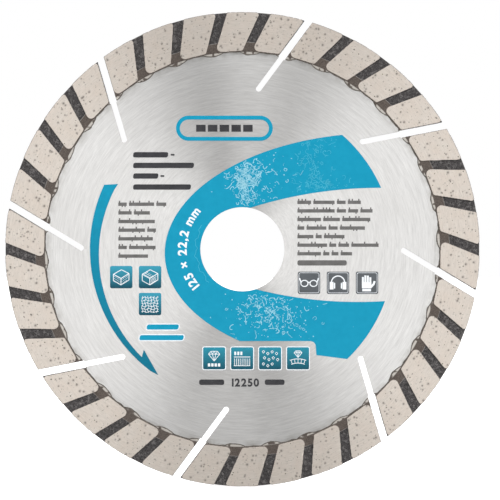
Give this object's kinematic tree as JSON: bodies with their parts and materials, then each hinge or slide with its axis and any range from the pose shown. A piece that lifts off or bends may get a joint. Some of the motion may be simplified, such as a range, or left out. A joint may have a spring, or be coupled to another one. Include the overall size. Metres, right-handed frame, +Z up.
{
  "type": "diamond cutting blade",
  "caption": "Round segmented turbo diamond cutting blade: thin steel core with central bore and narrow slots, and a thicker rim of grooved diamond segments with slanted pads.",
  "frame": {"origin": "centre of the spindle bore, on the blade's mid-plane", "axes": "Y is the spin axis, with the printed front face towards -Y; +Z is up and +X to the right as the printed face is read"},
  "size_m": [0.125, 0.0022, 0.125],
  "materials": {
    "core_steel": "fine concentric brushing",
    "bond_layer": "matt sintered metal, dark brown grey",
    "diamond_layer": "ground sintered metal with dark diamond grains",
    "ink_teal": "thin screen-printed ink",
    "ink_white": "thin screen-printed ink",
    "ink_dark": "thin screen-printed ink",
    "ink_deep": "thin screen-printed ink, shaded darker downwards",
    "ink_grey": "thin screen-printed ink"
  },
  "bodies": {
    "root": {"steel_core": "core_steel", "bond_foot_1": "bond_layer", "bond_foot_2": "bond_layer", "bond_foot_3": "bond_layer", "bond_foot_4": "bond_layer", "bond_foot_5": "bond_layer", "bond_foot_6": "bond_layer", "bond_foot_7": "bond_layer", "bond_foot_8": "bond_layer", "diamond_section_1": "diamond_layer", "diamond_section_2": "diamond_layer", "diamond_section_3": "diamond_layer", "diamond_section_4": "diamond_layer", "diamond_section_5": "diamond_layer", "diamond_section_6": "diamond_layer", "diamond_section_7": "diamond_layer", "diamond_section_8": "diamond_layer", "print_band": "ink_teal", "print_size_marks": "ink_white", "print_arrow": "ink_teal", "print_badge": "ink_teal", "print_badge_bar": "ink_dark", "print_heading": "ink_dark", "print_text_left": "ink_dark", "print_text_right": "ink_dark", "print_material_tiles": "ink_deep", "print_name_bars": "ink_teal", "print_property_tiles": "ink_deep", "print_care_tiles": "ink_grey", "print_rating": "ink_dark"}
  },
  "joints": []
}
